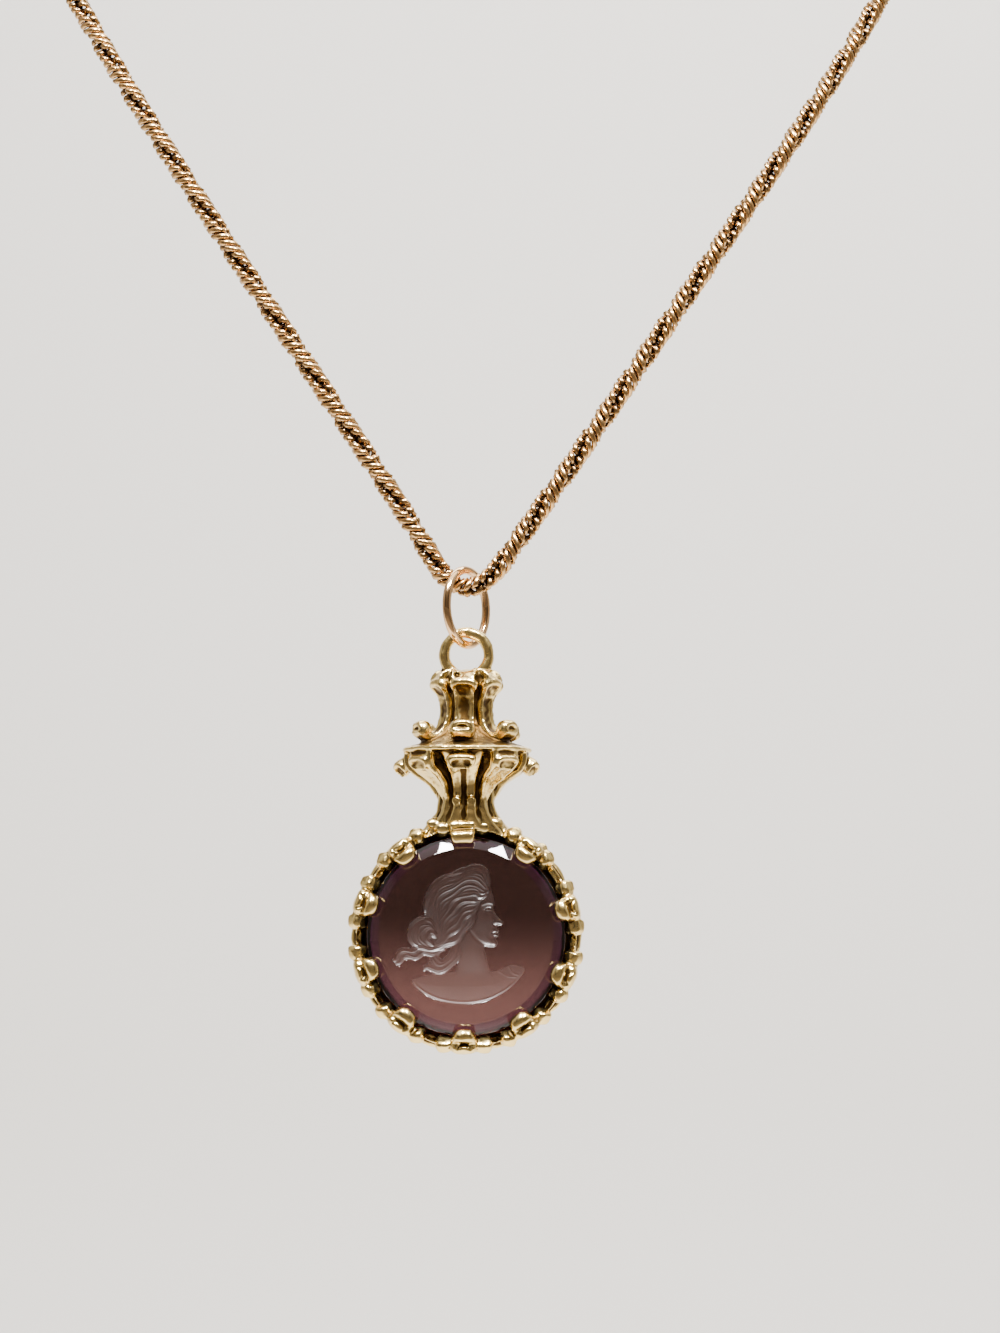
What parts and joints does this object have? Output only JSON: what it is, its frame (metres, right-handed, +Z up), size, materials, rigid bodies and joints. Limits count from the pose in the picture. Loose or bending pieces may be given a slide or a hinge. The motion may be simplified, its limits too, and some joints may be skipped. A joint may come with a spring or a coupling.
{
  "type": "intaglio pendant necklace",
  "caption": "Necklace of twisted curb chain with a jump ring and a cast gold-tone drop: loop, two-tier scrolled stem and claw setting round a carved glass disc.",
  "frame": {"origin": "middle of the clasp at the back of the loop, where the necklace rests on the nape", "axes": "+X the viewer's right, +Y away from the viewer, +Z up"},
  "size_m": [0.1114, 0.1263, 0.1504],
  "materials": {
    "chain_gold": "polished rosy gold plate on a twisted curb chain",
    "ring_gold": "polished pale rose gold plate",
    "cast_gold": "antiqued cast yellow gold plate, dark in the recesses",
    "amethyst_glass": "polished pressed glass with a frosted carving"
  },
  "bodies": {
    "necklace": {"chain": "chain_gold", "clasp": "chain_gold"},
    "ring": {"jump_ring": "ring_gold"},
    "drop": {"fob_setting": "cast_gold", "intaglio_stone": "amethyst_glass"}
  },
  "joints": [
    {"name": "ring_swing", "type": "hinge", "parent": "necklace", "child": "ring", "pos_m": [0, -0.118, -0.106], "axis": [1, 0, 0], "range_deg": [-45, 45]},
    {"name": "drop_swing", "type": "hinge", "parent": "ring", "child": "drop", "pos_m": [0, -0.118, -0.11135], "axis": [0.515, 0.8572, 0], "range_deg": [-45, 45]}
  ]
}
